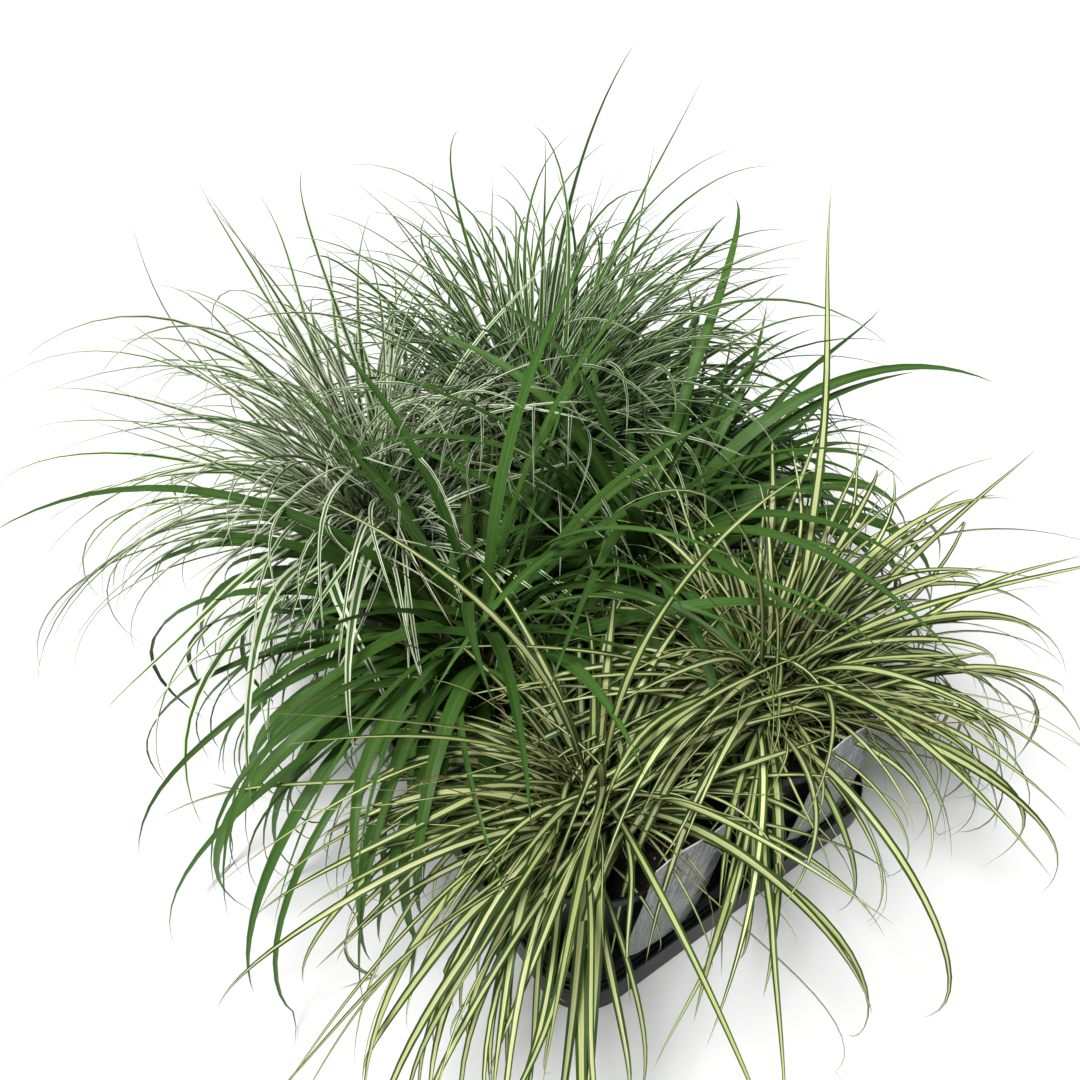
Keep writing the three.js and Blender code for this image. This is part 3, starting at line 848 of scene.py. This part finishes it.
def lathe(profile, sides):
    """Turns a profile of radius and height, from axis to axis, into points and faces."""
    angles = np.arange(sides) * 2 * np.pi / sides
    rings = [np.stack([radius * np.cos(angles), radius * np.sin(angles), np.full(sides, height)], 1)
             for radius, height in profile[1:-1]]
    points = np.concatenate([*rings, [[0, 0, profile[0][1]]], [[0, 0, profile[-1][1]]]])
    faces = band(len(rings), sides)
    first, last = len(points) - 2, len(points) - 1
    end = (len(rings) - 1) * sides
    for i in range(sides):
        j = (i + 1) % sides
        faces += [(first, j, i), (last, end + i, end + j)]
    return points, faces


def tray_outline(inset, height):
    """A rounded rectangle that lies `inset` inside the tray's outer edge."""
    radius = TRAY_CORNER - inset
    points = []
    for sign_x, sign_y, start in ((1, 1, 0), (-1, 1, 90), (-1, -1, 180), (1, -1, 270)):
        middle_x = sign_x * (TRAY_HALF_X - TRAY_CORNER)
        middle_y = sign_y * (TRAY_HALF_Y - TRAY_CORNER)
        for step in range(TRAY_CORNER_STEPS + 1):
            angle = math.radians(start + 90 * step / TRAY_CORNER_STEPS)
            points.append((middle_x + radius * math.cos(angle),
                           middle_y + radius * math.sin(angle), height))
    return points


def filled(outline, holes):
    """Triangles between an outline and the holes in it, facing up."""
    loops = [[Vector(point) for point in loop] for loop in (outline, *holes)]
    points = [point for loop in loops for point in loop]
    faces = []
    for a, b, c in tessellate_polygon(loops):
        if (points[b] - points[a]).cross(points[c] - points[a]).z < 0:
            b, c = c, b
        faces.append((a, b, c))
    return faces


def drain_hole(plant, height):
    middle_x, middle_y = pot_middle(plant)
    turns = [2 * math.pi * step / DRAIN_SIDES for step in range(DRAIN_SIDES)]
    return [(middle_x + DRAIN_RADIUS * math.cos(turn), middle_y + DRAIN_RADIUS * math.sin(turn),
             height) for turn in turns]


def make_tray(material):
    """A thin formed sheet: floor with drain holes, wall, ledge, groove, lip and skirt."""
    section = rounded(TRAY_OVER, TRAY_BENDS[0], 4) + rounded(TRAY_UNDER, TRAY_BENDS[1], 3)
    rings = [tray_outline(inset, height) for inset, height in section]
    size = len(rings[0])
    points = [point for ring in rings for point in ring]
    faces = band(len(rings), size, True)
    for height, ring, faces_up in ((TRAY_FLOOR, 0, True), (0.0, len(rings) - 1, False)):
        holes = [drain_hole(plant, height) for plant in PLANTS]
        index = [*range(ring * size, (ring + 1) * size),
                 *range(len(points), len(points) + DRAIN_SIDES * len(holes))]
        for face in filled(rings[ring], holes):
            face = tuple(index[i] for i in face)
            faces.append(face if faces_up else face[::-1])
        points += [point for hole in holes for point in hole]
    rims = DRAIN_SIDES * len(PLANTS)
    for rim in range(len(points) - 2 * rims, len(points) - rims, DRAIN_SIDES):
        for i in range(DRAIN_SIDES):
            a, b = rim + i, rim + (i + 1) % DRAIN_SIDES
            faces.append((a, b, b + rims, a + rims))
    make_piece("tray_sheet", points, faces, "tray", material)


def pot_radius(height):
    """Of the pot's outside over its own floor."""
    return lerp(POT_BASE_RADIUS, POT_TOP_RADIUS, height / POT_HEIGHT)


def make_pot(plant, material):
    """A thin tapered pot whose wall steps out into a rim with a bead along its edge."""
    step = POT_HEIGHT - POT_RIM_DEPTH
    bead = POT_HEIGHT - POT_BEAD
    under_bead = POT_RIM_RADIUS - POT_BEAD_OUT
    in_rim = POT_RIM_RADIUS - POT_WALL
    foot = POT_BASE_RADIUS - POT_FOOT
    outside = [(0, POT_RAISED), (foot - 2, POT_RAISED), (foot, 0), (POT_BASE_RADIUS, 0),
               (pot_radius(step), step),
               (under_bead, step + 1), (under_bead, bead - 0.2), (POT_RIM_RADIUS, bead),
               (POT_RIM_RADIUS, POT_HEIGHT)]
    inside = [(in_rim - 0.6, POT_HEIGHT), (in_rim - 0.3, POT_HEIGHT - 3),
              (in_rim, step + 1 + POT_WALL), (pot_radius(step) - POT_WALL, step + POT_WALL),
              (pot_radius(POT_WALL) - POT_WALL, POT_WALL + POT_RAISED), (0, POT_WALL + POT_RAISED)]
    points, faces = lathe(rounded(outside + inside, POT_BENDS, 3), POT_SIDES)
    points += [*pot_middle(plant), POT_FLOOR]
    place = plant["place"]
    make_piece("pot_shell_" + place, points, faces, "pot_" + place, material)


def soil_height(radius):
    """The soil's surface over the pot's floor, without its crumbs."""
    top = SOIL_TOP - POT_FLOOR
    ends = pot_radius(top) - SOIL["mound_ends"]
    share = 1 - smoothstep(radius, SOIL["mound_from"], ends)
    return top - SOIL["sag"] + (SOIL_MOUND + SOIL["sag"]) * share


# A chip of size 1: the corners of its lower and of its upper face.
CHIP = np.array([(-1, -1, -1), (1, -1, -0.8), (0.8, 1, -1), (-1, 0.9, -1),
                 (-0.8, -1, 1), (1, -0.7, 0.8), (0.7, 0.8, 1), (-1, 0.7, 0.7)])
CHIP_FACES = [(0, 3, 2, 1), (4, 5, 6, 7), (0, 1, 5, 4), (1, 2, 6, 5), (2, 3, 7, 6), (3, 0, 4, 7)]


def make_soil(plant, material):
    """Potting mix with an uneven surface, with crumbs, bark chips and a few white grains."""
    draw = np.random.default_rng(plant["seed"] + SEEDS["crumbs"])
    middle = pot_middle(plant)
    edge = pot_radius(SOIL_TOP - POT_FLOOR) - SOIL["inside"]
    bottom = POT_WALL + GAP + SOIL["foot"]
    wall = [(pot_radius(height) - SOIL["inside_below"], height)
            for height in (bottom, SOIL["knee"])]
    surface = [(edge * share, soil_height(edge * share))
               for share in np.linspace(1, 0, SOIL["rings"])]
    points, faces = lathe([(0, bottom), *wall, *surface], SOIL["sides"])
    for point in points:
        if point[2] > SOIL["waves_over"]:
            place = Vector((point[0] + middle[0], point[1] + middle[1], 0)) * SOIL["wave_scale"]
            point[2] += (SOIL["wave_height"] * noise.noise(place)
                         + SOIL["ripple_height"] * noise.noise(place * SOIL["ripple_scale"]))
    tone = [SOIL_TONE] * len(points)
    start = len(points)
    all_points = [points]
    for number in range(CHIPS["count"]):
        shape = CHIPS["crumb"] if number % CHIPS["bark_every"] else CHIPS["bark"]
        size = draw.uniform(*CHIPS["size"], 3) * shape
        tilt = draw.uniform(-CHIPS["tilt"], CHIPS["tilt"], 2)
        turn = Euler((*tilt, draw.uniform(0, CHIPS["turn"]))).to_matrix()
        radius = (edge - CHIPS["from_edge"]) * math.sqrt(draw.random())
        angle = draw.uniform(0, 2 * math.pi)
        corners = CHIP * draw.uniform(*CHIPS["ragged"], (len(CHIP), 1)) * size
        spot = [radius * math.cos(angle), radius * math.sin(angle),
                soil_height(radius) + CHIPS["lifted"]]
        all_points.append(corners @ np.array(turn) + spot)
        faces += [tuple(start + i for i in face) for face in CHIP_FACES]
        tone += [draw.random() if number % CHIPS["white_every"] else WHITE_TONE] * len(CHIP)
        start += len(CHIP)
    points = np.concatenate(all_points) + [*middle, POT_FLOOR]
    soil = make_piece("potting_mix_" + plant["place"], points, faces, "soil_" + plant["place"],
                      material, CRUMB_SHARP_OVER)
    set_point_values(soil.data, "tone", tone)


def make_label(name, place, askew, number, material):
    """A thin curled sheet with cut corners, buckled a little, in the place of the solid."""
    shares = [np.linspace(0, 1, cells + 1) for cells in LABEL_CELLS]
    across, up = np.meshgrid(*shares, indexing="ij")
    from_side = np.minimum(across, 1 - across)
    rise = np.maximum(1 - from_side / LABEL_CUT_WIDTH, 0) * LABEL_CUT_CORNER
    curled = np.maximum(across - LABEL_CURL_START, 0) / (1 - LABEL_CURL_START)
    buckle = (np.sin(across * LABEL_BUCKLE["across"] + up * LABEL_BUCKLE["slant"] + number)
              * np.sin(up * LABEL_BUCKLE["up"] + number * 2) * LABEL_BUCKLE["depth"])
    front = np.stack([(across - 0.5) * LABEL_WIDTH,
                      LABEL_CURL * curled ** 2 + buckle + LABEL_SET_BACK,
                      rise + up * (LABEL_HEIGHT - 2 * rise)], 2).reshape(-1, 3)
    count = len(front)
    index = np.arange(count).reshape(across.shape)
    a, b, c, d = index[:-1, :-1], index[1:, :-1], index[1:, 1:], index[:-1, 1:]
    faces = np.stack([a, b, c, d], 2).reshape(-1, 4).tolist()
    faces += (np.stack([d, c, b, a], 2).reshape(-1, 4) + count).tolist()
    rim = np.concatenate([index[:-1, 0], index[-1, :-1], index[:0:-1, -1], index[0, :0:-1]])
    rim = rim.tolist()
    faces += [(i, i + count, j + count, j) for i, j in zip(rim, rim[1:] + rim[:1])]
    turn = np.array(Euler((0, math.radians(askew), 0)).to_matrix())
    points = np.concatenate([front, front + [0, LABEL_THICKNESS, 0]]) @ turn.T + place
    mesh = make_piece(name + "_sheet", points, faces, name, material).data
    flat = np.stack([across, up], 2).reshape(-1, 2)
    set_uv(mesh, "sheet", flat[corner_vertices(mesh) % count])


SCUFFS_LEVEL = 14.0  # how much flatter than wide the scuffs on a wall are


def plastic_material(name, colour, worn, dust, amount, roughness):
    """Moulded or formed black plastic: scuffs, fine grain, and dust on what faces up."""
    graph = Graph(name)
    place = graph.place()
    x, y, z = graph.split(place)
    broad = graph.noise(place, 24.0, 4.0, 0.62)
    grain = graph.noise(place, 1400.0, 2.0, 0.5)
    stretched = graph.point(x, y, graph.times(z, SCUFFS_LEVEL))
    scuff = graph.noise(stretched, 160.0, 3.0, 0.7)
    facing_up = graph.split(graph.node("ShaderNodeNewGeometry").outputs["Normal"])[2]
    settled = graph.times(graph.smooth(facing_up, 0.1, 0.95, 0.05, 1.0),
                         graph.smooth(broad, 0.42, 0.68))
    shade = graph.mix(graph.smooth(scuff, 0.56, 0.72, 0.0, 0.7), colour, worn)
    shade = graph.mix(graph.times(settled, amount), shade, dust)
    rough = graph.linear(broad, 0.3, 0.7, roughness - 0.06, roughness + 0.08)
    rough = graph.math("ADD", rough, graph.times(settled, 0.25))
    graph.set(Base_Color=shade, Roughness=rough, Specular_IOR_Level=0.26)
    graph.bump(graph.math("ADD", grain, graph.times(scuff, 1.5)), 0.22, 0.1 * MM)
    return graph.material


def soil_material():
    """Dark peat with browner crumbs and pale fibres. The white grains have the highest tone."""
    graph = Graph("potting_mix")
    place = graph.place()
    tone = graph.attribute("tone")
    fine = graph.noise(place, 900.0, 4.0, 0.7)
    fibre = graph.noise(place, 260.0, 3.0, 0.6)
    shade = graph.mix(fine, (0.005, 0.004, 0.003), (0.024, 0.016, 0.01))
    shade = graph.mix(graph.smooth(tone, 0.3, 1.0, 0.0, 0.8), shade, (0.05, 0.028, 0.015))
    shade = graph.mix(graph.smooth(fibre, 0.6, 0.72, 0.0, 0.5), shade, (0.1, 0.065, 0.035))
    shade = graph.mix(graph.smooth(tone, 1.2, 1.6), shade, (0.55, 0.53, 0.48))
    rough = graph.linear(fine, 0.3, 0.7, 0.8, 0.98)
    graph.set(Base_Color=shade, Roughness=rough, Specular_IOR_Level=0.25)
    graph.bump(graph.math("ADD", fine, fibre), 0.7, 0.7 * MM)
    return graph.material


def label_material():
    """A bare sheet of cloudy clear plastic. Its grey streaks are a painted reflection, it turns
    greener and darker towards the bottom, and a painted highlight runs along its top edge and one
    side edge.
    """
    graph = Graph("clear_label")
    place = graph.place()
    across, up, _ = graph.split(graph.node("ShaderNodeUVMap", uv_map="sheet").outputs[0])
    streak = graph.noise(graph.point(graph.times(across, 9.0),
                                     graph.times(up, 2.0)), 2.4, 5.0, 0.65)
    cloud = graph.noise(place, 38.0, 4.0, 0.6)
    grain = graph.noise(place, 700.0, 2.0, 0.5)
    low = graph.smooth(up, 0.66, 0.3)
    # Grey streaks: a painted reflection on the sheet.
    shade = graph.mix(graph.smooth(streak, 0.35, 0.68), (0.08, 0.09, 0.095), (0.3, 0.315, 0.325))
    # Greener and darker towards the bottom.
    lower_tint = graph.mix(cloud, (0.06, 0.09, 0.05), (0.2, 0.25, 0.18))
    shade = graph.mix(graph.times(low, 0.7), shade, lower_tint)
    # A painted highlight along the top edge and the curled side edge, where the sheet is also more
    # opaque.
    edge = graph.math("MAXIMUM", graph.smooth(up, 0.975, 0.995), graph.smooth(across, 0.985, 0.998))
    shade = graph.mix(edge, shade, (0.75, 0.77, 0.78))
    alpha = graph.math("MAXIMUM", graph.smooth(streak, 0.3, 0.7, 0.76, 0.95), edge)
    rough = graph.smooth(cloud, 0.35, 0.65, 0.14, 0.34)
    graph.set(Base_Color=shade, Alpha=alpha, Roughness=rough, Specular_IOR_Level=0.7)
    graph.bump(graph.math("ADD", cloud, graph.times(grain, 0.1)), 0.3, 0.5 * MM)
    return graph.material


tray_material = plastic_material("tray_plastic", (0.004, 0.0045, 0.006), (0.012, 0.013, 0.016),
                                 (0.07, 0.066, 0.06), 0.16, 0.28)
pot_material = plastic_material("pot_plastic", (0.004, 0.004, 0.0045), (0.012, 0.012, 0.012),
                                (0.07, 0.06, 0.048), 0.2, 0.5)
mix_material = soil_material()
sheet_material = label_material()
leaf_materials = {kind: leaf_material("leaf_" + kind, look) for kind, look in LEAF_LOOKS.items()}

make_tray(tray_material)
for number, name in enumerate(("label_left", "label_right")):
    make_label(name, LABEL_PLACES[number], LABEL_ASKEW[number], number, sheet_material)
for plant in PLANTS:
    make_pot(plant, pot_material)
    make_soil(plant, mix_material)
    make_clump(plant, leaf_materials[plant["kind"]])


# ---- floor, light and camera ----

FLOOR_HALF = 3.0
SKY_STRENGTH = 0.26
KEY_STRENGTH = 3.5
KEY_ANGLE = 28  # degrees, how broad the key light looks
KEY_FROM = (-0.55, -0.1, 1.3)
# Found from the tray's rim and the pots: it looks down on the front corner.
CAMERA = {
    "lens": 30.1, "sensor": 36.0, "shift": (-0.045, 0.045), "place": (-0.242, -0.378, 0.626),
    "down": 47.1, "heading": -35,
}


def make_floor():
    corners = [(x * FLOOR_HALF, y * FLOOR_HALF, 0) for x, y in ((-1, -1), (1, -1), (1, 1), (-1, 1))]
    floor = add_mesh("floor", corners, [(0, 1, 2, 3)])
    graph = Graph("floor")
    mottle = graph.noise(graph.place(), 3.0, 4.0, 0.6)
    shade = graph.mix(mottle, (0.86, 0.86, 0.855), (0.89, 0.89, 0.885))
    graph.set(Base_Color=shade, Roughness=0.9)
    floor.data.materials.append(graph.material)


def make_light():
    """A bright overcast sky with a broad, soft light from the upper left."""
    world = bpy.data.worlds.new("soft studio")
    world.use_nodes = True
    background = world.node_tree.nodes["Background"]
    background.inputs["Color"].default_value = (1.0, 1.0, 1.0, 1.0)
    background.inputs["Strength"].default_value = SKY_STRENGTH
    bpy.context.scene.world = world
    data = bpy.data.lights.new("key", "SUN")
    data.energy = KEY_STRENGTH
    data.angle = math.radians(KEY_ANGLE)
    light = bpy.data.objects.new("key", data)
    light.rotation_euler = (-Vector(KEY_FROM)).to_track_quat("-Z", "Y").to_euler()
    bpy.context.scene.collection.objects.link(light)


def make_camera():
    data = bpy.data.cameras.new("camera")
    data.sensor_width = CAMERA["sensor"]
    data.lens = CAMERA["lens"]
    data.shift_x, data.shift_y = CAMERA["shift"]
    data.clip_start = 10 * MM
    camera = bpy.data.objects.new("camera", data)
    camera.location = CAMERA["place"]
    camera.rotation_euler = (math.radians(90 - CAMERA["down"]), 0, math.radians(CAMERA["heading"]))
    bpy.context.scene.collection.objects.link(camera)
    bpy.context.scene.camera = camera


make_floor()
make_light()
make_camera()
bpy.context.scene.view_settings.view_transform = "Standard"  # plain, unfiltered colours
